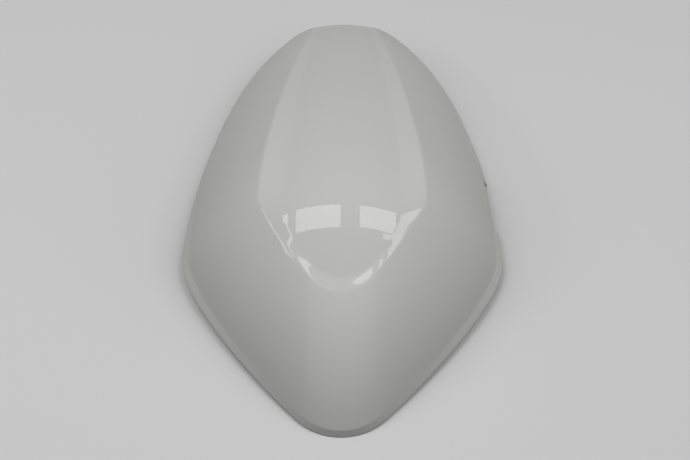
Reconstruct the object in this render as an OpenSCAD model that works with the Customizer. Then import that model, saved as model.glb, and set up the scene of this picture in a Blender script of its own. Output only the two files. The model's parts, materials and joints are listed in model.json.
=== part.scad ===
// A seat cowl for a sports motorcycle: one moulded shell that covers the rear seat.
// The pointed front end looks towards the rider (-Y) and the rounded tail to the rear (+Y).
// It stands on its rim: Z = 0 is the surface under it, and the origin is below its middle.

/* [Overall size] */
// Length from the front tip to the tail
length = 450; // [420:1:480]
// Width across the two shoulder corners
width = 295; // [270:1:320]
// Height of the crown above the surface under the rim
height = 125; // [118:1:135]
// Thickness of the moulded wall
wall = 3; // [2:0.1:4]

/* [Rim] */
// Distance from the front tip back to the shoulder corners
corner_y = 168; // [150:1:180]
// Radius of the blunt front tip, seen from above
tip_r = 56; // [45:1:75]
// Angle at which the front edges run back from the tip, in degrees
edge_angle = 43; // [40:0.5:48]
// How far the front edges run straight behind the tip
edge_run = 62; // [30:1:80]
// How far the front edges straighten out before the shoulder corners
corner_front_run = 33; // [20:1:60]
// How far the sides run straight back behind the shoulder corners
corner_rear_run = 54; // [45:1:90]
// How far the tail runs sideways before it turns forwards
tail_run = 136; // [110:1:142]
// Height of the wall along the rim edge, below the roll-over
rim_wall_h = 9; // [6:1:14]
// Lean of that wall at the front tip, in degrees
tip_draft = 14; // [5:0.5:20]
// Lean of that wall along the sides behind the shoulder corners, in degrees
side_draft = 36; // [15:0.5:38]
// Lean of that wall round the tail, in degrees
tail_draft = 8; // [3:0.5:15]
// Radius of the roll-over from that wall to the faces
roll_r = 8; // [3:0.5:12]
// How far the rim edge rises at the shoulder corners
corner_lift = 12; // [0:1:25]
// How far the rim edge rises at the tail
tail_lift = 9; // [0:1:15]

/* [Raised panel] */
// Distance from the front tip to the nose of the outer crease
crease_nose_y = 89; // [80:1:100]
// Radius of the nose of the outer crease, seen from above
outer_nose_r = 36; // [28:1:42]
// Radius of the nose of the inner crease, seen from above
inner_nose_r = 34; // [26:1:40]
// How far the creases run straight behind their noses
crease_run = 14; // [8:1:20]
// How far the creases straighten out before their widest places
crease_front_run = 12; // [8:1:30]
// Half width of the outer crease where it is widest
crease_half_w = 72; // [60:1:85]
// Distance from the front tip to where the outer crease is widest
crease_wide_y = 172; // [150:1:190]
// How much nearer to the front tip the inner crease is widest
inner_lead = 14; // [5:1:20]
// Half width of the outer crease where it meets the tail
crease_tail_half_w = 31; // [24:1:38]
// Width of the chamfer between the two creases at the nose
chamfer_nose_w = 11; // [7:0.5:14]
// Width of the chamfer at its widest place
chamfer_w = 20; // [10:1:26]
// Width of the chamfer where it runs out at the tail
chamfer_tail_w = 4; // [3:0.5:8]
// Distance from the tail forwards to the rear edge of the panel
tail_face = 30; // [22:1:38]
// Softness of the two creases, as the run of their rounding on each side
crease_soft = 2.2; // [1:0.1:2.4]
// How far the chamfer falls at the nose, where it is a shallow ledge
nose_drop = 3; // [1:0.5:6]
// How far the chamfer falls at its widest place
side_drop = 3; // [1:0.5:8]
// How far the chamfer falls where it runs out at the tail
tail_drop = 1.5; // [1:0.5:6]
// Crown of the panel from its middle to the inner crease
panel_crown = 9.5; // [4:0.5:12]
// Distance from the front tip to the top of the ridge line
ridge_y = 158; // [145:1:175]
// Slope of the ridge line from its top to the nose, in degrees
nose_slope = 35; // [28:1:38]
// Slope of the ridge line from its top towards the tail, in degrees
tail_slope = 13.5; // [8:0.5:18]
// How much further the ridge line falls at the tail
tail_dip = 19; // [10:1:24]
// Rounding of the ridge line over its top
ridge_round = 50; // [30:1:70]

/* [Faces] */
// Bow of the front face, as the angle between its chord and its ends, in degrees
face_bow = 17; // [6:1:22]
// Bow of the side faces at the shoulder corners, in degrees
flank_bow = 17; // [6:1:22]
// Bow of the side faces towards the tail, in degrees
side_bow = 22; // [12:1:24]
// Bow of the tail face, in degrees
tail_bow = 6; // [2:1:14]

/* [Rim cut-out] */
// Distance from the front tip to the front end of the cut-out on the right side
cut_y = 204; // [195:1:220]
// Length of the cut-out
cut_len = 60; // [25:1:64]
// Height of the cut-out above the rim edge
cut_h = 8; // [5:0.5:11]
// Corner radius of the cut-out
cut_r = 2.5; // [1:0.5:4]

/* [Inside] */
// Spacing of the four screw bosses across the cowl
boss_dx = 60; // [45:1:68]
// Spacing of the four screw bosses along the cowl
boss_dy = 40; // [30:1:60]
// Distance from the front tip to the middle of the screw bosses
boss_y = 205; // [190:1:230]
// Outer diameter of a screw boss
boss_d = 8; // [7:0.5:10]
// Pilot hole of a screw boss
pilot_d = 3.4; // [2.5:0.1:4.5]
// Depth of the pilot hole
pilot_depth = 13; // [8:1:16]
// Height of the seats of the screw bosses above the surface under the rim
boss_seat_z = 96; // [90:1:100]
// Thickness of the ribs
rib_t = 2; // [1.2:0.1:2.5]
// Depth of the ribs under the skin
rib_depth = 9; // [5:0.5:14]
// How far the long ribs run in front of and behind the bosses
rib_run = 42; // [20:1:50]
// Length of the locating tongue inside the tail
tongue_len = 28; // [15:1:40]
// Thickness of the locating tongue
tongue_t = 3; // [2:0.1:4]
// Height of the locating tongue above the surface under the rim
tongue_z = 14; // [12:0.5:18]
// Corner radius of the locating tongue
tongue_r = 6; // [3:0.5:9]

/* [Hidden] */
$fn = 48;

// Share of the rear rim curve at which the rim touches down, and at which the tail begins
rest_at = 0.52;
tail_at = 0.82;

// Spokes of one half along the front, the side and the tail, and the steps across a spoke
nose_n = 6;
front_n = 18;
side_n = 22;
tail_n = 5;
roll_n = 4;
face_n = 7;
crease_n = 2;

// Steps of the long and the cross ribs, of the cut-out's top and of a corner arc
long_rib_n = 16;
cross_rib_n = 6;
cut_n = 8;
arc_n = 6;

row_n = front_n + side_n;
half_n = row_n + tail_n;
spoke_n = 2 * half_n;
ring_n = 1 + roll_n + 1 + face_n - 1 + 2 * (crease_n + 1);

// Plain curve and vector helpers
function unit(v) = v / norm(v);
function mix(a, b, t) = a + (b - a) * t;
function quad_curve(a, b, c, t) = mix(mix(a, b, t), mix(b, c, t), t);
function curve(a, b, c, d, t) =
    mix(quad_curve(a, b, c, t), quad_curve(b, c, d, t), t);
function ease(t) = 0.5 - 0.5 * cos(180 * t);

// Spokes run from the nose up the right side to the tail and back down the left side
function half_of(k) = k <= half_n ? k : spoke_n - k;
function side_of(k) = k <= half_n ? 1 : -1;
function wrap(k) = (k + spoke_n) % spoke_n;
function front_share(h) = h / front_n;
function side_share(h) = (h - front_n) / side_n;
function tail_share(h) = (h - row_n) / tail_n;

// A blunt nose of radius r with its tip at y, then an edge that leaves it at edge_angle, runs
// straight for leave and turns along +Y over the last stretch arrive before it ends
function nose_arc(y, r, a) = [r * sin(a), y + r * (1 - cos(a))];
function nose_line(y, r, leave, arrive, end, t) =
    let (share = nose_n / front_n, knee = nose_arc(y, r, edge_angle))
    t < share ? nose_arc(y, r, edge_angle * t / share)
    : curve(knee, knee + leave * [cos(edge_angle), sin(edge_angle)], end - [0, arrive], end,
        (t - share) / (1 - share));

// Rim outline of the right half, seen from above
function front_rim(t) =
    nose_line(0, tip_r, edge_run, corner_front_run, [width / 2, corner_y], t);
function rear_rim(t) = curve([width / 2, corner_y], [width / 2, corner_y + corner_rear_run],
    [tail_run, length], [0, length], t);
function rear_lift(t) = t < rest_at
    ? corner_lift * (1 - ease(t / rest_at))
    : tail_lift * ease((t - rest_at) / (1 - rest_at));
function rear_place(h) = h <= row_n
    ? tail_at * side_share(h)
    : mix(tail_at, 1, tail_share(h));
function rim_half(h) = h <= front_n
    ? [for (v = front_rim(front_share(h))) v]
    : [for (v = rear_rim(rear_place(h))) v];
function rim_xy(k) = [side_of(k) * rim_half(half_of(k)).x, rim_half(half_of(k)).y];
function rim_lift(k) = half_of(k) <= front_n
    ? corner_lift * ease(front_share(half_of(k)))
    : rear_lift(rear_place(half_of(k)));
function draft_half(h) = h <= front_n ? mix(tip_draft, side_draft, ease(front_share(h)))
    : h <= row_n ? mix(side_draft, tail_draft, ease(side_share(h))) : tail_draft;
function draft_at(k) = draft_half(half_of(k));
function rim_inward(k) = let (run = rim_xy(wrap(k + 1)) - rim_xy(wrap(k - 1)))
    unit([-run.y, run.x]);

// Ridge line of the raised panel, and the panel's crowned surface
front_fall = tan(nose_slope);
rear_fall = tan(tail_slope);
function roof(d) = (front_fall + rear_fall) / 2 * sqrt(d * d + ridge_round * ridge_round)
    + (rear_fall - front_fall) / 2 * d;
roof_top = ridge_round * sqrt(front_fall * rear_fall);
panel_end_y = length - tail_face;
function ridge_z(y) = let (d = y - ridge_y)
    height + roof_top - roof(d) - tail_dip * pow(max(0, d / (panel_end_y - ridge_y)), 3);
panel_half_w = crease_half_w - chamfer_w;
function panel_z(x, y) = ridge_z(y) - panel_crown * pow(x / panel_half_w, 2);
function panel_up(x, y) = unit([
    2 * panel_crown * x / pow(panel_half_w, 2),
    ridge_z(y - 0.5) - ridge_z(y + 0.5),
    1
]);

// Plan of a crease of the right half: nose, widest place and tail. The side runs straight back
// over the share side_leave of its length, and heads for the tail over the share side_arrive
side_leave = 0.21;
side_spread = 0.5;
side_arrive = 0.33;
function crease_side(half_w, wide_y, end_w, end_y, t) = curve([half_w, wide_y],
    [half_w, mix(wide_y, end_y, side_leave)],
    [mix(end_w, half_w, side_spread), mix(end_y, wide_y, side_arrive)],
    [end_w, end_y], t);
function crease_tail(end_w, end_y, bow, t) = [end_w * (1 - t), end_y + bow * ease(t)];
function crease_half(h, nose_y, nose_r, half_w, wide_y, end_w, end_y, bow) =
    h <= front_n ? nose_line(nose_y, nose_r, crease_run, crease_front_run, [half_w, wide_y],
        front_share(h))
    : h <= row_n ? crease_side(half_w, wide_y, end_w, end_y, side_share(h))
    : crease_tail(end_w, end_y, bow, tail_share(h));

panel_end_bow = 3;
inner_nose_y = crease_nose_y + chamfer_nose_w;
inner_wide_y = crease_wide_y - inner_lead;
function outer_plan(h) = crease_half(h, crease_nose_y, outer_nose_r, crease_half_w,
    crease_wide_y, crease_tail_half_w, panel_end_y, panel_end_bow);
function inner_plan(h) = crease_half(h, inner_nose_y, inner_nose_r, panel_half_w,
    inner_wide_y, crease_tail_half_w - chamfer_tail_w, panel_end_y - chamfer_tail_w, panel_end_bow);
function chamfer_drop(h) = h <= front_n
    ? mix(nose_drop, side_drop, ease(front_share(h)))
    : h <= row_n ? mix(side_drop, tail_drop, pow(side_share(h), 2)) : tail_drop;

function on_panel(x, y) = [x, y, panel_z(x, y)];
function inner_crease(k) = let (p = inner_plan(half_of(k)))
    on_panel(side_of(k) * p.x, p.y);
function outer_crease(k) = let (p = outer_plan(half_of(k)))
    [side_of(k) * p.x, p.y, inner_crease(k).z - chamfer_drop(half_of(k))];
function bow_at(k) = let (h = half_of(k)) h <= front_n
    ? mix(face_bow, flank_bow, ease(front_share(h)))
    : h <= row_n ? mix(flank_bow, side_bow, side_share(h))
    : mix(side_bow, tail_bow, tail_share(h));

// One spoke of the outer skin, from the rim edge up to the edge of the panel. The two creases'
// roundings take up the share soft_share of the chamfer each at most
soft_share = 0.3;
function spoke(k) = let (
        foot = [rim_xy(k).x, rim_xy(k).y, rim_lift(k)],
        in = rim_inward(k) * rim_wall_h * tan(draft_at(k)),
        knee = foot + [in.x, in.y, rim_wall_h],
        outer = outer_crease(k),
        inner = inner_crease(k),
        up = unit(knee - foot),
        chord = unit(outer - knee),
        bulge = unit([0, 0, 1] - chord * chord.z) * tan(bow_at(k)),
        leave = unit(chord + bulge),
        arrive = unit(chord - bulge),
        roll = roll_r * tan(acos(up * leave) / 2),
        face_start = knee + leave * roll,
        soft = min(crease_soft, soft_share * norm(inner - outer)),
        face_end = outer - arrive * soft,
        handle = norm(face_end - face_start) / 3,
        band = unit(inner - outer),
        flat_in = unit([inner.x - outer.x, inner.y - outer.y]) * soft,
        panel_edge = on_panel(inner.x + flat_in.x, inner.y + flat_in.y)
    ) concat(
        [foot],
        [for (i = [0 : roll_n]) quad_curve(knee - up * roll, knee, face_start, i / roll_n)],
        [for (i = [1 : face_n - 1]) curve(face_start, face_start + leave * handle,
            face_end - arrive * handle, face_end, i / face_n)],
        [for (i = [0 : crease_n]) quad_curve(face_end, outer, outer + band * soft,
            i / crease_n)],
        [for (i = [0 : crease_n]) quad_curve(inner - band * soft, inner, panel_edge,
            i / crease_n)]
    );

spokes = [for (k = [0 : spoke_n - 1]) spoke(k)];

// Panel points between the left and right ends of each row
function row_point(m, c) = let (right = spokes[m][ring_n - 1], share = c / (2 * tail_n))
    on_panel(right.x * (1 - 2 * share), right.y);

// Inner skin: each point moved one wall thickness in, square to the outer skin
function skin_up(k, j) = let (
        along = spokes[wrap(k + 1)][j] - spokes[wrap(k - 1)][j],
        across = spokes[k][min(j + 1, ring_n - 1)] - spokes[k][j - 1]
    ) unit(cross(along, across));
function inner_point(k, j) = j == 0
    ? spokes[k][0] + wall * [rim_inward(k).x, rim_inward(k).y, 0]
    : spokes[k][j] - wall * (j == ring_n - 1
        ? panel_up(spokes[k][j].x, spokes[k][j].y)
        : skin_up(k, j));

outer_points = concat(
    [for (j = [0 : ring_n - 1]) for (k = [0 : spoke_n - 1]) spokes[k][j]],
    [for (m = [1 : row_n - 1]) for (c = [1 : 2 * tail_n - 1]) row_point(m, c)]);
inner_points = concat(
    [for (j = [0 : ring_n - 1]) for (k = [0 : spoke_n - 1]) inner_point(k, j)],
    [for (m = [1 : row_n - 1]) for (c = [1 : 2 * tail_n - 1])
        row_point(m, c) - wall * panel_up(row_point(m, c).x, row_point(m, c).y)]);
skin_count = len(outer_points);

function ring_ix(j, k) = j * spoke_n + wrap(k);
function panel_ix(m, c) =
    m == 0 ? ring_ix(ring_n - 1, 0)
    : m == row_n ? ring_ix(ring_n - 1, row_n + c)
    : c == 0 ? ring_ix(ring_n - 1, m)
    : c == 2 * tail_n ? ring_ix(ring_n - 1, -m)
    : ring_n * spoke_n + (m - 1) * (2 * tail_n - 1) + c - 1;

// A patch of four corners as two triangles, split the mirrored way on the left half
function patch(a, b, c, d, left) = left ? [[a, b, d], [b, c, d]] : [[a, b, c], [a, c, d]];
skin_faces = concat(
    [for (j = [0 : ring_n - 2]) for (k = [0 : spoke_n - 1])
        for (f = patch(ring_ix(j, k), ring_ix(j + 1, k), ring_ix(j + 1, k + 1), ring_ix(j, k + 1),
            k >= half_n)) f],
    [for (c = [0 : 2 * tail_n - 1]) [panel_ix(0, c), panel_ix(1, c + 1), panel_ix(1, c)]],
    [for (m = [1 : row_n - 1]) for (c = [0 : 2 * tail_n - 1])
        for (f = patch(panel_ix(m, c), panel_ix(m, c + 1), panel_ix(m + 1, c + 1),
            panel_ix(m + 1, c), c >= tail_n)) f]);
rim_faces = [for (k = [0 : spoke_n - 1])
    for (f = patch(ring_ix(0, k), ring_ix(0, k + 1), skin_count + ring_ix(0, k + 1),
        skin_count + ring_ix(0, k), k >= half_n)) f];

module shell() {
    polyhedron(
        points = concat(outer_points, inner_points),
        faces = concat(
            skin_faces,
            [for (f = skin_faces) [skin_count + f[2], skin_count + f[1], skin_count + f[0]]],
            rim_faces),
        convexity = 6);
}

// A rib of the raised panel: its top lies in the middle of the skin and its foot below it
module panel_rib(from, to, steps) {
    side = unit([to.y - from.y, from.x - to.x]) * rib_t / 2;
    stations = [for (i = [0 : steps]) mix(from, to, i / steps)];
    points = [for (s = stations) let (top = panel_z(s.x, s.y) - wall / 2)
        each [
            [s.x + side.x, s.y + side.y, top],
            [s.x - side.x, s.y - side.y, top],
            [s.x - side.x, s.y - side.y, top - rib_depth],
            [s.x + side.x, s.y + side.y, top - rib_depth]
        ]];
    polyhedron(points = points, faces = concat(
        [[2, 1, 0], [3, 2, 0]],
        [for (i = [0 : steps - 1]) for (e = [0 : 3]) let (f = (e + 1) % 4)
            each [[4 * i + e, 4 * i + f, 4 * i + 4 + f], [4 * i + e, 4 * i + 4 + f, 4 * i + 4 + e]]],
        [[4 * steps, 4 * steps + 1, 4 * steps + 2], [4 * steps, 4 * steps + 2, 4 * steps + 3]]));
}

module at_bosses() {
    for (x = [-boss_dx / 2, boss_dx / 2]) for (y = [boss_y - boss_dy / 2, boss_y + boss_dy / 2])
        translate([x, y, 0]) {
            $boss_top = panel_z(x, y) - wall / 2;
            children();
        }
}

module bosses() {
    at_bosses() translate([0, 0, boss_seat_z]) cylinder(d = boss_d, h = $boss_top - boss_seat_z);
}

module pilot_holes() {
    at_bosses() translate([0, 0, boss_seat_z - 1]) cylinder(d = pilot_d, h = pilot_depth + 1);
}

module ribs() {
    for (x = [-boss_dx / 2, boss_dx / 2])
        panel_rib([x, boss_y - boss_dy / 2 - rib_run], [x, boss_y + boss_dy / 2 + rib_run],
            long_rib_n);
    for (y = [boss_y - boss_dy / 2, boss_y + boss_dy / 2])
        panel_rib([-boss_dx / 2, y], [boss_dx / 2, y], cross_rib_n);
}

// The tongue inside the tail: its root follows the middle of the tail's wall
module tongue() {
    function corner(a, to) = tongue_r * (to + [cos(a), sin(a)]);
    in = wall / 2 + (tongue_z + tongue_t / 2 - tail_lift) * tan(tail_draft);
    root = [for (k = [half_n - 2 : half_n + 2]) rim_xy(k) + rim_inward(k) * in];
    front = length - in - tongue_len;
    w = root[0].x;
    translate([0, 0, tongue_z]) linear_extrude(tongue_t)
        polygon(concat(root,
            [for (i = [0 : arc_n]) [-w, front] + corner(180 + 90 * i / arc_n, [1, 1])],
            [for (i = [0 : arc_n]) [w, front] + corner(270 + 90 * i / arc_n, [-1, 1])]));
}

// The cut-out in the right side of the rim, as the block that it takes away. Its top follows
// the rim edge
module rim_cut() {
    reach = 30;
    below = 5;
    edge = [for (k = [front_n : row_n]) [rim_xy(k).y, rim_lift(k)]];
    front = cut_y + cut_r;
    rear = cut_y + cut_len - cut_r;
    arc = [for (i = [0 : arc_n]) let (a = 90 * i / arc_n) cut_r * [cos(a), sin(a) - 1]];
    translate([width / 2 - reach, 0, 0]) rotate([90, 0, 90]) linear_extrude(2 * reach)
        polygon(concat(
            [[cut_y, -below], [cut_y + cut_len, -below]],
            [for (p = arc) [rear + p.x, lookup(rear, edge) + cut_h + p.y]],
            [for (i = [1 : cut_n - 1]) let (y = mix(rear, front, i / cut_n))
                [y, lookup(y, edge) + cut_h]],
            [for (i = [arc_n : -1 : 0])
                [front - arc[i].x, lookup(front, edge) + cut_h + arc[i].y]]));
}

module seat_cowl() {
    color([0.56, 0.565, 0.55]) translate([0, -length / 2, 0]) difference() {
        union() {
            shell();
            bosses();
            ribs();
            tongue();
        }
        pilot_holes();
        rim_cut();
    }
}

seat_cowl();
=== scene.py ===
# %% [markdown]
# # A motorcycle seat cowl in gloss white
#
# A seat cowl is one moulded shell that takes the place of the rear seat. It has a pointed front,
# a raised panel with a creased border, and a rounded tail. Its paint is smooth and glossy, so the
# whole look hangs on two things: a clean curved surface, and something bright for it to reflect.
#
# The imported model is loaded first. It fixes the size and the place of everything below.

# %% Load the frame
import json
import math
import bpy
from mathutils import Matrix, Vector

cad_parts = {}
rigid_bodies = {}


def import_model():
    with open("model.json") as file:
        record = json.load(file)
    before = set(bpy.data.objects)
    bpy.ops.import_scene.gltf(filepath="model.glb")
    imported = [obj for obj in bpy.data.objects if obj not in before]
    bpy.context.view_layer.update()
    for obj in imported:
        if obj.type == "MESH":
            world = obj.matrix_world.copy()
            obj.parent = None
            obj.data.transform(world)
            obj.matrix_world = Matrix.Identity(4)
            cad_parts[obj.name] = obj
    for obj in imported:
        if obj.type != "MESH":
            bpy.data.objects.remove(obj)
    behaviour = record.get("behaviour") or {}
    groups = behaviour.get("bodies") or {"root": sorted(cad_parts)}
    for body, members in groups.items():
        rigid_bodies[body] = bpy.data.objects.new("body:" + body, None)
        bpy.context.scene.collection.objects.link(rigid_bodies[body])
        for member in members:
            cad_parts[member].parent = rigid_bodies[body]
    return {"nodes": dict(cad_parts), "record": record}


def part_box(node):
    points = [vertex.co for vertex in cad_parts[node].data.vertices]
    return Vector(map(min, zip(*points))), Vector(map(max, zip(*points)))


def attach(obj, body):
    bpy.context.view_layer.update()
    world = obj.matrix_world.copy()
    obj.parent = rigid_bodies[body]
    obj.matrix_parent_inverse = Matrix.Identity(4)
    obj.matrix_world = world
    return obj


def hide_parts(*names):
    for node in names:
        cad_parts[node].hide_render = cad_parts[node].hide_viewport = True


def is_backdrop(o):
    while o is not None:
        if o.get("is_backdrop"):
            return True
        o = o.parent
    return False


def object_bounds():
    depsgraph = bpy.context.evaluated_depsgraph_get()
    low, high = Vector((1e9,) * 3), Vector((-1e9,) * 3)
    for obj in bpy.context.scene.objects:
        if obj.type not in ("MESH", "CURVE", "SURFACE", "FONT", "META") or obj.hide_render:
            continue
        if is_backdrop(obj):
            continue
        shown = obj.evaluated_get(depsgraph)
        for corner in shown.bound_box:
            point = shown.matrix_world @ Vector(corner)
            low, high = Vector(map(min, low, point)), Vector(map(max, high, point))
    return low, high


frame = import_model()
cad_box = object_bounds()
node = frame["nodes"]["seat_cowl"]
low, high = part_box("seat_cowl")
print("frame holds", sorted(frame["nodes"]), "size", [round(v, 4) for v in high - low])

# %% [markdown]
# ## Three small helpers
#
# Blender's operators act on whatever is selected. The first helper makes one piece the only
# selected one. The second picks faces, edges or vertices by a rule, as a click would by hand. The
# third adds a modifier and applies it at once, so that the piece stays plain mesh.

# %% Helpers for selecting and for modifiers
def select_only(piece):
    """Makes this piece the only selected one, and the active one."""
    bpy.ops.object.select_all(action="DESELECT")
    piece.select_set(True)
    bpy.context.view_layer.objects.active = piece


def pick(piece, kind, test):
    """Selects the polygons, edges or vertices for which test is true, and stays in edit mode."""
    bpy.ops.object.mode_set(mode="EDIT")
    bpy.ops.mesh.select_mode(type={"vertices": "VERT", "edges": "EDGE", "polygons": "FACE"}[kind])
    bpy.ops.mesh.select_all(action="DESELECT")
    bpy.ops.object.mode_set(mode="OBJECT")
    for part in getattr(piece.data, kind):
        part.select = test(part)
    bpy.ops.object.mode_set(mode="EDIT")


def add_and_apply(piece, kind, **settings):
    """Adds a modifier with these settings to the piece and applies it."""
    select_only(piece)
    modifier = piece.modifiers.new(kind.lower(), kind)
    for name, value in settings.items():
        setattr(modifier, name, value)
    bpy.ops.object.modifier_apply(modifier=modifier.name)


# %% [markdown]
# ## A clean outer skin
#
# The frame's mesh is loose triangles, and the inside is part of it. Gloss paint shows every kink,
# so the outer skin is taken from a copy, turned into four-sided faces and subdivided. It could be
# modelled anew from a grid, but then it would drift away from the real size. The cowl is the same
# on both sides apart from a cut-out in the right side of its rim. So the left half is kept and
# mirrored, and the cut-out comes later.

# %% Copy the frame's mesh and merge its corners
merge_distance = 0.00001
cowl = bpy.data.objects.new("cowl_shell", node.data.copy())
bpy.context.collection.objects.link(cowl)
cowl.data.materials.clear()
select_only(cowl)
bpy.ops.object.mode_set(mode="EDIT")
bpy.ops.mesh.select_all(action="SELECT")
bpy.ops.mesh.remove_doubles(threshold=merge_distance)
bpy.ops.object.mode_set(mode="OBJECT")
print("merged copy:", len(cowl.data.vertices), "vertices,", len(cowl.data.polygons), "faces")

# %% Keep only the outer skin, up to the sharp edge of the rim
rim_sharpness = math.radians(50)
bpy.ops.object.mode_set(mode="EDIT")
bpy.ops.mesh.select_mode(type="EDGE")
bpy.ops.mesh.select_all(action="DESELECT")
bpy.ops.mesh.edges_select_sharp(sharpness=rim_sharpness)
bpy.ops.mesh.mark_sharp()
bpy.ops.object.mode_set(mode="OBJECT")
crown = max(cowl.data.polygons, key=lambda face: face.center.z).index
pick(cowl, "polygons", lambda face: face.index == crown)
bpy.ops.mesh.select_linked(delimit={"SHARP"})
bpy.ops.mesh.select_all(action="INVERT")
bpy.ops.mesh.delete(type="FACE")
bpy.ops.object.mode_set(mode="OBJECT")
print("outer skin:", len(cowl.data.polygons), "faces")

# %% Keep the left half, make four-sided faces and mirror them
# Two triangles become one face where the fold between them and its skew stay under these.
most_fold = math.radians(60)
most_skew = math.radians(80)
bpy.ops.object.mode_set(mode="EDIT")
bpy.ops.mesh.select_all(action="SELECT")
bpy.ops.mesh.bisect(plane_co=(0, 0, 0), plane_no=(1, 0, 0), clear_outer=True,
                    threshold=merge_distance)
bpy.ops.mesh.select_all(action="SELECT")
bpy.ops.mesh.mark_sharp(clear=True)
bpy.ops.mesh.tris_convert_to_quads(face_threshold=most_fold, shape_threshold=most_skew)
bpy.ops.object.mode_set(mode="OBJECT")
add_and_apply(cowl, "MIRROR", use_mirror_merge=True, merge_threshold=2 * merge_distance)
bpy.ops.object.mode_set(mode="EDIT")
bpy.ops.mesh.select_all(action="SELECT")
bpy.ops.mesh.normals_make_consistent(inside=False)
bpy.ops.object.mode_set(mode="OBJECT")
sides = [len(face.vertices) for face in cowl.data.polygons]
print("mirrored skin:", sides.count(4), "four-sided faces,", sides.count(3), "triangles")

# %% Subdivide the skin, and keep a copy to measure from
add_and_apply(cowl, "SUBSURF", levels=2, render_levels=2)
skin = bpy.data.objects.new("skin_guide", cowl.data.copy())
bpy.context.collection.objects.link(skin)
print("fine skin:", len(cowl.data.polygons), "faces")

# %% [markdown]
# ## The wall
#
# The real cowl is moulded about 3 mm thick. Solidify copies the skin inwards by that much and
# closes the rim between the two. It leans the rim's inner edge with the skin, so that edge is set
# level with the outer one afterwards: the rim stands flat, as it does when it is moulded. The
# rim's two sharp edges then get the small round that every moulded edge has.

# %% Two names for the finishes, which get their nodes further down
paint = bpy.data.materials.new("gloss_white_paint")
underside = bpy.data.materials.new("moulded_underside")
for finish in (paint, underside):
    finish.use_nodes = True
    cowl.data.materials.append(finish)
print("finishes:", paint.name, "and", underside.name)

# %% Give the skin its thickness
wall = 0.003

# An edge that only one face uses lies on the open rim.
edge_use = {}
for face in cowl.data.polygons:
    for key in face.edge_keys:
        edge_use[key] = edge_use.get(key, 0) + 1
rim_corners = sorted({corner for key, times in edge_use.items() if times == 1 for corner in key})
skin_corners = len(cowl.data.vertices)
add_and_apply(cowl, "SOLIDIFY", thickness=wall, offset=-1, use_even_offset=True, material_offset=1)

# The inner corners come after the outer ones, in the same order.
for index in rim_corners:
    cowl.data.vertices[index + skin_corners].co.z = cowl.data.vertices[index].co.z
rim_line = [cowl.data.vertices[index].co.copy() for index in rim_corners]
lowest_point = min(corner.co.z for corner in cowl.data.vertices)
print("rim:", len(rim_line), "corners, wall", wall, "lowest point", round(lowest_point, 5))

# %% Round the rim's edges
rim_round = 0.0005
add_and_apply(cowl, "BEVEL", width=rim_round, segments=2, limit_method="ANGLE",
              angle_limit=rim_sharpness)
print("with rounded rim:", len(cowl.data.polygons), "faces")

# %% [markdown]
# ## The underside
#
# Four hollow bosses take the screws of the latch bracket. Ribs tie them together and stiffen the
# raised panel, and a tongue at the tail slips into a slot of the motorcycle. In the mould they
# are one with the wall. Here each is modelled on its own, with its top inside the wall, and then
# joined to the shell by a Boolean union. Rays cast against the skin's copy tell how high the
# wall is at each place.

# %% Measure the skin
screws = frame["record"]["mounts"][0]
above_all = 0.3
inside_tail = 0.12


def skin_height(x, y):
    """Height of the outer skin at this place, by a ray cast down from above the cowl."""
    return skin.ray_cast(Vector((x, y, above_all)), Vector((0, 0, -1)))[1].z


def skin_rear(x, z):
    """How far back the outer skin is at this height, by a ray cast back from inside the tail."""
    return skin.ray_cast(Vector((x, inside_tail, z)), Vector((0, 1, 0)))[1].y


print("skin at the middle of the bosses:", round(skin_height(*screws["pos_m"][:2]), 4))

# %% A block, cut across into even parts
def give_finish(piece, finish):
    """Gives the piece the shell's two finishes, and this one of them on all its faces."""
    finishes = (paint, underside)
    for each in finishes:
        piece.data.materials.append(each)
    for face in piece.data.polygons:
        face.material_index = finishes.index(finish)


def block(name, lowest, highest, parts_x=1, parts_y=1, finish=underside):
    """A box between two corners, cut across into this many even parts along x and y."""
    bpy.ops.object.select_all(action="DESELECT")
    size = [b - a for a, b in zip(lowest, highest)]
    middle = [(a + b) / 2 for a, b in zip(lowest, highest)]
    bpy.ops.mesh.primitive_cube_add(size=1, location=middle)
    piece = bpy.context.active_object
    piece.name = name
    piece.scale = size
    bpy.ops.object.transform_apply(location=True, rotation=True, scale=True)
    for axis, parts in ((0, parts_x), (1, parts_y)):
        for step in range(1, parts):
            place = [0, 0, 0]
            place[axis] = lowest[axis] + size[axis] * step / parts
            normal = [0, 0, 0]
            normal[axis] = 1
            bpy.ops.object.mode_set(mode="EDIT")
            bpy.ops.mesh.select_all(action="SELECT")
            bpy.ops.mesh.bisect(plane_co=place, plane_no=normal)
            bpy.ops.object.mode_set(mode="OBJECT")
    give_finish(piece, finish)
    return piece


# %% Ribs that follow the panel
boss_x = screws["dims"]["spacing_x_mm"] / 2000
boss_half_y = screws["dims"]["spacing_y_mm"] / 2000
boss_y = (screws["pos_m"][1] - boss_half_y, screws["pos_m"][1] + boss_half_y)
rib_width = 0.002
rib_depth = 0.009
long_rib_ends = (-0.082, 0.042)
rough_foot = 0.09
rough_top = 0.11


def hang_under_skin(rib):
    """Moves the rib's top to the middle of the wall above it, and its foot below that."""
    for corner in rib.data.vertices:
        top = skin_height(corner.co.x, corner.co.y) - wall / 2
        corner.co.z = top if corner.co.z > (rough_foot + rough_top) / 2 else top - rib_depth


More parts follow.
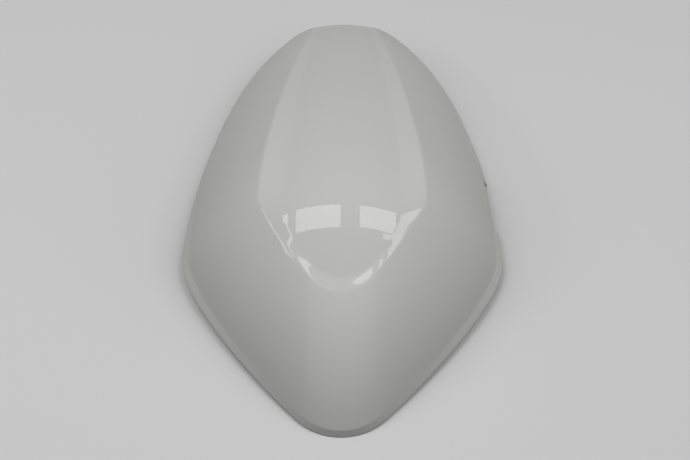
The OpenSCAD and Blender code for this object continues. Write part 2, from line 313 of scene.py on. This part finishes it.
ribs = []
for x in (-boss_x, boss_x):
    ribs.append(block("long_rib", (x - rib_width / 2, long_rib_ends[0], rough_foot),
                      (x + rib_width / 2, long_rib_ends[1], rough_top), parts_y=16))
for y in boss_y:
    ribs.append(block("cross_rib", (-boss_x, y - rib_width / 2, rough_foot),
                      (boss_x, y + rib_width / 2, rough_top), parts_x=8))
for rib in ribs:
    hang_under_skin(rib)
lowest_foot = min(corner.co.z for rib in ribs for corner in rib.data.vertices)
print("ribs:", len(ribs), "feet from", round(lowest_foot, 4))

# %% Screw bosses
boss_seat = screws["pos_m"][2]
boss_r = 0.004
boss_round = 0.0004
pilot_r = screws["dims"]["hole_r_mm"] / 1000
pilot_depth = 0.013
overshoot = 0.001

# A corner that is nearer than this to a place counts as being there.
near = 0.0001


def upright(name, x, y, radius, foot, top, sides):
    """An upright cylinder with the underside's finish."""
    bpy.ops.object.select_all(action="DESELECT")
    bpy.ops.mesh.primitive_cylinder_add(vertices=sides, radius=radius, depth=top - foot,
                                        location=(x, y, (foot + top) / 2))
    piece = bpy.context.active_object
    piece.name = name
    bpy.ops.object.transform_apply(location=True, rotation=True, scale=True)
    give_finish(piece, underside)
    return piece


boss_places = [(x, y) for x in (-boss_x, boss_x) for y in boss_y]
bosses = [upright("boss", x, y, boss_r, boss_seat, skin_height(x, y) - wall / 2, sides=48)
          for x, y in boss_places]
pilots = [upright("pilot", x, y, pilot_r, boss_seat - overshoot, boss_seat + pilot_depth, sides=32)
          for x, y in boss_places]
for boss in bosses:
    pick(boss, "edges", lambda edge: all(boss.data.vertices[v].co.z < boss_seat + near
                                         for v in edge.vertices))
    bpy.ops.mesh.bevel(offset=boss_round, segments=2)
    bpy.ops.object.mode_set(mode="OBJECT")
print("bosses:", len(bosses), "seats at", boss_seat, "pilot radius", pilot_r)

# %% The tongue at the tail
tongue_half_w = 0.0269
tongue_front = frame["record"]["mounts"][1]["pos_m"][1]
tongue_z = (0.014, 0.017)
tongue_corner_r = 0.006
rough_rear = 0.22
tongue = block("tongue", (-tongue_half_w, tongue_front, tongue_z[0]),
               (tongue_half_w, rough_rear, tongue_z[1]), parts_x=24)
for corner in tongue.data.vertices:
    if corner.co.y > rough_rear - near:
        corner.co.y = min(skin_rear(corner.co.x, z) for z in tongue_z) - wall / 2
pick(tongue, "edges", lambda edge: all(
    abs(tongue.data.vertices[v].co.x) > tongue_half_w - near
    and tongue.data.vertices[v].co.y < tongue_front + near for v in edge.vertices))
bpy.ops.mesh.bevel(offset=tongue_corner_r, segments=6)
bpy.ops.object.mode_set(mode="OBJECT")
tongue_root = max(corner.co.y for corner in tongue.data.vertices)
print("tongue:", len(tongue.data.polygons), "faces, root at", round(tongue_root, 4))

# %% [markdown]
# ## Joining everything
#
# A Boolean modifier is the tool for one solid that is moulded in one go. The small parts are
# joined to each other first, because a Boolean with the big shell takes longest. The pilot holes
# are taken out of the bosses before that, and the cut-out in the rim comes last.

# %% Join and drill the small parts
def combine(piece, others, operation):
    """Adds the others to the piece, or takes them away from it, and removes them."""
    for other in others:
        add_and_apply(piece, "BOOLEAN", operation=operation, solver="EXACT", object=other)
        bpy.data.objects.remove(other)


inside = ribs[0]
inside.name = "inside_parts"
combine(inside, ribs[1:] + bosses, "UNION")
combine(inside, pilots, "DIFFERENCE")
print("ribs and bosses:", len(inside.data.polygons), "faces")

# %% Join them and the tongue to the shell
combine(cowl, [inside, tongue], "UNION")
print("shell with its inside:", len(cowl.data.polygons), "faces")

# %% [markdown]
# ## The cut-out in the rim
#
# The right side of the rim has a shallow cut-out, which the photograph shows behind the shoulder.
# It is taken away with a block whose top follows the rim's own rise, so the gap stays equally
# high along its length. The block's two upper corners are rounded first.

# %% Cut the rim
cut_front = -0.021
cut_rear = 0.039
cut_height = 0.008
cut_corner_r = 0.0025
cut_parts = 10
cutter_x = (0.1175, 0.1775)
cutter_foot = -0.005
side_from_x = 0.08
right_rim = sorted((point.y, point.z) for point in rim_line if point.x > side_from_x)


def rim_height(y):
    """Height of the right side's rim edge at this place along the cowl."""
    before = max(point for point in right_rim if point[0] <= y)
    after = min(point for point in right_rim if point[0] > y)
    share = (y - before[0]) / (after[0] - before[0])
    return before[1] + (after[1] - before[1]) * share


cutter = block("cutter", (cutter_x[0], cut_front, cutter_foot), (cutter_x[1], cut_rear, cut_height),
               finish=paint)
pick(cutter, "edges", lambda edge: all(cutter.data.vertices[v].co.z > 0 for v in edge.vertices)
     and abs(cutter.data.vertices[edge.vertices[0]].co.y
             - cutter.data.vertices[edge.vertices[1]].co.y) < near)
bpy.ops.mesh.bevel(offset=cut_corner_r, segments=6)
for step in range(1, cut_parts):
    cut_y = cut_front + (cut_rear - cut_front) * step / cut_parts
    bpy.ops.mesh.select_all(action="SELECT")
    bpy.ops.mesh.bisect(plane_co=(0, cut_y, 0), plane_no=(0, 1, 0))
bpy.ops.object.mode_set(mode="OBJECT")
for corner in cutter.data.vertices:
    if corner.co.z > 0:
        corner.co.z += rim_height(corner.co.y)
combine(cowl, [cutter], "DIFFERENCE")
cut_tops = [round(rim_height(y) + cut_height, 4) for y in (cut_front, cut_rear)]
print("with cut-out:", len(cowl.data.polygons), "faces, top of the cut at its ends", cut_tops)

# %% Smooth shading, with real edges kept
real_edge = math.radians(35)
select_only(cowl)
bpy.ops.object.shade_smooth_by_angle(angle=real_edge)
bpy.data.objects.remove(skin)
triangles = sum(len(face.vertices) - 2 for face in cowl.data.polygons)
print("cowl_shell:", triangles, "triangles")

# %% [markdown]
# ## Gloss white paint
#
# The outside is a solid white with a clear lacquer over it. Two things keep it from looking like
# a flat computer colour. The white varies a little from place to place, as sprayed paint does.
# The lacquer has a very fine orange peel, which makes reflections of straight edges tremble. The
# colour under it has no shine of its own here, because the lacquer gives the shine. It still gets
# a varied roughness, for a renderer that leaves the lacquer out. All of these are noise on Object
# coordinates, so they stay on the piece from every side. None of them is cut off at a lowest or
# highest value: a gloss surface could show the edge of such a plateau as a stain.

# %% Helpers for material nodes
def node_kit(finish):
    """The material's node tree, its shader, and Object coordinates as the start of patterns."""
    tree = finish.node_tree
    shader = tree.nodes["Principled BSDF"]
    place = tree.nodes.new("ShaderNodeTexCoord")
    return tree, shader, place.outputs["Object"]


def noise(tree, place, scale, detail=2.0):
    """A noise pattern of this many features per metre."""
    texture = tree.nodes.new("ShaderNodeTexNoise")
    texture.inputs["Scale"].default_value = scale
    texture.inputs["Detail"].default_value = detail
    tree.links.new(place, texture.inputs["Vector"])
    return texture.outputs["Fac"]


def shift_range(tree, source, before, after):
    """Turns values between the two numbers in before into values between the two in after."""
    mapper = tree.nodes.new("ShaderNodeMapRange")
    for name, value in zip(("From Min", "From Max", "To Min", "To Max"), before + after):
        mapper.inputs[name].default_value = value
    tree.links.new(source, mapper.inputs["Value"])
    return mapper.outputs["Result"]


def blend_colours(tree, share, first, second):
    """A colour that goes from the first to the second as share goes from 0 to 1."""
    mixer = tree.nodes.new("ShaderNodeMix")
    mixer.data_type = "RGBA"
    for socket, colour in ((mixer.inputs[6], first), (mixer.inputs[7], second)):
        if isinstance(colour, tuple):
            socket.default_value = (*colour, 1)
        else:
            tree.links.new(colour, socket)
    tree.links.new(share, mixer.inputs[0])
    return mixer.outputs[2]


def bumps(tree, height, distance, below=None):
    """A bump of this distance in metres, on top of another one if given."""
    bump = tree.nodes.new("ShaderNodeBump")
    bump.inputs["Strength"].default_value = 1
    bump.inputs["Distance"].default_value = distance
    tree.links.new(height, bump.inputs["Height"])
    if below is not None:
        tree.links.new(below, bump.inputs["Normal"])
    return bump.outputs["Normal"]


# %% The paint's nodes
darker_white = (0.54, 0.544, 0.533)
lighter_white = (0.58, 0.585, 0.567)
tree, shader, place = node_kit(paint)
cloud = noise(tree, place, scale=9)
white = blend_colours(tree, cloud, darker_white, lighter_white)
tree.links.new(white, shader.inputs["Base Color"])
gloss = shift_range(tree, noise(tree, place, scale=35, detail=3), (0, 1), (0.2, 0.4))
tree.links.new(gloss, shader.inputs["Roughness"])
waves = bumps(tree, noise(tree, place, scale=120, detail=1), distance=0.000012)
peel = bumps(tree, noise(tree, place, scale=520, detail=1), distance=0.000004, below=waves)
tree.links.new(peel, shader.inputs["Coat Normal"])
shader.inputs["Specular IOR Level"].default_value = 0
shader.inputs["Coat Weight"].default_value = 0.6
shader.inputs["Coat Roughness"].default_value = 0.03
print("paint nodes:", len(tree.nodes))

# %% [markdown]
# ## The moulded underside
#
# The inside is bare moulded plastic: duller than the paint, with a fine spark-eroded grain from
# the mould and faint flow marks. It could be one even finish, but the spray gun reaches a little
# way round the rim. So the paint fades out over about the lowest two centimetres of the inside,
# with an uneven edge.

# %% The underside's nodes
darker_plastic = (0.47, 0.475, 0.465)
lighter_plastic = (0.51, 0.515, 0.5)
thin_paint = (0.555, 0.56, 0.55)
edge_wander = 0.016
fades_between = (0.014, 0.03)
tree, shader, place = node_kit(underside)
flow = shift_range(tree, noise(tree, place, scale=14, detail=4), (0.3, 0.7), (0, 1))
plastic = blend_colours(tree, flow, darker_plastic, lighter_plastic)
split = tree.nodes.new("ShaderNodeSeparateXYZ")
tree.links.new(place, split.inputs["Vector"])
rough_edge = tree.nodes.new("ShaderNodeMath")
rough_edge.operation = "MULTIPLY_ADD"
tree.links.new(noise(tree, place, scale=60, detail=4), rough_edge.inputs[0])
rough_edge.inputs[1].default_value = edge_wander
tree.links.new(split.outputs["Z"], rough_edge.inputs[2])
bare = shift_range(tree, rough_edge.outputs["Value"], fades_between, (0, 1))
inside_colour = blend_colours(tree, bare, thin_paint, plastic)
tree.links.new(inside_colour, shader.inputs["Base Color"])
dull = shift_range(tree, bare, (0, 1), (0.3, 0.55))
tree.links.new(dull, shader.inputs["Roughness"])
grain = bumps(tree, noise(tree, place, scale=900), distance=0.00003)
tree.links.new(grain, shader.inputs["Normal"])
print("underside nodes:", len(tree.nodes))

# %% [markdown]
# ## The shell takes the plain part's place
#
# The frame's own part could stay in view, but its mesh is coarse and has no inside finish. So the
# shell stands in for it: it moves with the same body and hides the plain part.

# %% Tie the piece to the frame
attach(cowl, "root")
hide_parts("seat_cowl")
print("cowl_shell replaces seat_cowl")

# %% [markdown]
# ## A pale floor
#
# The cowl lies on a plain pale floor. The floor sends little light back up, so that the lower
# parts of the cowl stay dark, but it is seen in a pale grey, by the camera and in the gloss. It
# could be one flat grey, but the lamps light its middle most. So it gets paler further out, and
# the background stays even.

# %% Floor
middle_grey = (0.66, 0.66, 0.66)
outer_grey = (0.97, 0.97, 0.97)
bounce_grey = (0.1, 0.1, 0.1)
paler_between = (0.7, 3.5)
bpy.ops.object.select_all(action="DESELECT")
bpy.ops.mesh.primitive_plane_add(size=12, location=(0, 0, 0))
floor = bpy.context.active_object
floor.name = "floor"
floor_look = bpy.data.materials.new("pale_floor")
floor_look.use_nodes = True
tree = floor_look.node_tree
shader = tree.nodes["Principled BSDF"]
shader.inputs["Roughness"].default_value = 0.85
place = tree.nodes.new("ShaderNodeTexCoord").outputs["Object"]
distance = tree.nodes.new("ShaderNodeVectorMath")
distance.operation = "LENGTH"
tree.links.new(place, distance.inputs[0])
far = shift_range(tree, distance.outputs["Value"], paler_between, (0, 1))
pale = blend_colours(tree, far, middle_grey, outer_grey)
rays = tree.nodes.new("ShaderNodeLightPath").outputs
floor_colour = blend_colours(tree, rays["Is Diffuse Ray"], pale, bounce_grey)
tree.links.new(floor_colour, shader.inputs["Base Color"])
floor.data.materials.append(floor_look)
floor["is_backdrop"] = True
print("floor:", round(floor.dimensions.x, 2), "m square")

# %% [markdown]
# ## A room of soft light
#
# A studio would have large soft boxes around the cowl. Here the world stands for them, with five
# wide glows: one overhead, one on each side, and one from each front corner. They shade the paint
# softly and cast no hard shadows. The camera and the gloss see a plain backdrop in their place,
# which is brighter above. Low down it is about as pale as the floor, so that no hard horizon shows
# in the reflections.

# %% Start the room, with a helper for sums
world = bpy.data.worlds.new("soft_room")
bpy.context.scene.world = world
world.use_nodes = True
tree = world.node_tree
direction = tree.nodes.new("ShaderNodeTexCoord").outputs["Generated"]


def sums(tree, kind, first, second):
    """A Math node of this kind for two values, each a number or another node's output."""
    maths = tree.nodes.new("ShaderNodeMath")
    maths.operation = kind
    for socket, value in zip(maths.inputs, (first, second)):
        if isinstance(value, (int, float)):
            socket.default_value = value
        else:
            tree.links.new(value, socket)
    return maths.outputs["Value"]


print("room:", world.name)

# %% Soft light from five directions
light_everywhere = 0.02
glow_narrowness = 8
glows = {"overhead": ((0, 0.1, 1), 0.45),
         "left": ((-1, 0, 0.58), 0.5),
         "right": ((1, 0, 0.58), 0.65),
         "front left": ((-0.7, -0.6, 0.6), 0.35),
         "front right": ((0.7, -0.6, 0.6), 0.5)}


def glow(towards, strength):
    """Soft light from around this direction, this strong at its middle."""
    nearness = tree.nodes.new("ShaderNodeVectorMath")
    nearness.operation = "DOT_PRODUCT"
    tree.links.new(direction, nearness.inputs[0])
    nearness.inputs[1].default_value = Vector(towards).normalized()
    spread = sums(tree, "POWER", sums(tree, "MAXIMUM", nearness.outputs["Value"], 0), glow_narrowness)
    return sums(tree, "MULTIPLY", spread, strength)


soft_light = light_everywhere
for towards, strength in glows.values():
    soft_light = sums(tree, "ADD", glow(towards, strength), soft_light)
print("glows:", ", ".join(glows))

# %% A plain backdrop for the camera and the gloss
backdrop_low = 0.5
backdrop_rise = 0.5
rays = tree.nodes.new("ShaderNodeLightPath").outputs
seen = sums(tree, "MAXIMUM", rays["Is Camera Ray"], rays["Is Glossy Ray"])
seen = sums(tree, "MAXIMUM", seen, rays["Is Transmission Ray"])
split = tree.nodes.new("ShaderNodeSeparateXYZ")
tree.links.new(direction, split.inputs["Vector"])
rise = sums(tree, "MULTIPLY", sums(tree, "POWER", split.outputs["Z"], 2), backdrop_rise)
backdrop = sums(tree, "ADD", rise, backdrop_low)
seen_part = sums(tree, "MULTIPLY", seen, backdrop)
unseen_part = sums(tree, "MULTIPLY", sums(tree, "SUBTRACT", 1, seen), soft_light)
level = sums(tree, "ADD", unseen_part, seen_part)
tree.links.new(level, tree.nodes["Background"].inputs["Strength"])
tree.nodes["Background"].inputs["Color"].default_value = (1, 1, 1, 1)
print("backdrop from", backdrop_low, "at the floor to", backdrop_low + backdrop_rise, "overhead")

# %% [markdown]
# ## Lamps for the highlights
#
# Gloss paint shows its lamps. Two flat lamps overhead give the bright oblong reflections on the
# raised panel. Narrow strips beside them light up the border of its nose on the right, and draw a
# line along each of its creases on the left. Each lamp's place was found by following a ray from
# the camera to the paint, and on to where the paint reflects it.

# %% Flat lamps overhead
lamp_height = 1.6
panel_level = 5.2
strip_level = 4.5


def flat_lamp(name, x, y, level):
    """A lamp that faces the floor, between two places in x and in y, this bright per area."""
    data = bpy.data.lights.new(name, "AREA")
    data.shape = "RECTANGLE"
    data.size = x[1] - x[0]
    data.size_y = y[1] - y[0]
    data.energy = level * math.pi * data.size * data.size_y
    light = bpy.data.objects.new(name, data)
    light.location = (sum(x) / 2, sum(y) / 2, lamp_height)
    bpy.context.collection.objects.link(light)


flat_lamp("left_panel", (-0.90, -0.035), (-0.33, 0.20), panel_level)
flat_lamp("right_panel", (0.32, 1.02), (-0.31, 0.205), panel_level)
flat_lamp("right_strip", (1.13, 1.40), (-0.42, 0.20), strip_level)
flat_lamp("nose_strip", (0.78, 1.20), (-0.43, -0.335), strip_level)
flat_lamp("left_strip", (-2.2, -1.65), (-0.75, 0.05), strip_level)
flat_lamp("thin_left_strip", (-1.20, -1.05), (-0.45, 0.15), panel_level)

# %% [markdown]
# ## The camera
#
# It looks down at the cowl from in front of its point, as the photograph does. It could be placed
# by eye, but its height, tilt and focal length were worked out from the photograph's perspective,
# because the cowl's outline then shows whether the shape is right.

# %% Camera at the photograph's angle
camera_data = bpy.data.cameras.new("camera")
camera_data.lens = 62.6
camera = bpy.data.objects.new("camera", camera_data)
camera.location = (0.0077, -0.652, 0.943)
camera.rotation_euler = (math.radians(34.2), 0, math.radians(0.5))
bpy.context.collection.objects.link(camera)
bpy.context.scene.camera = camera
bpy.context.scene.view_settings.view_transform = "Standard"
print("camera", [round(v, 3) for v in camera.location])

# %% Compare the sizes and finish
visual_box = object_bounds()
for name, box in (("cad", cad_box), ("visual", visual_box)):
    print(name, [[round(c, 4) for c in v] for v in box])
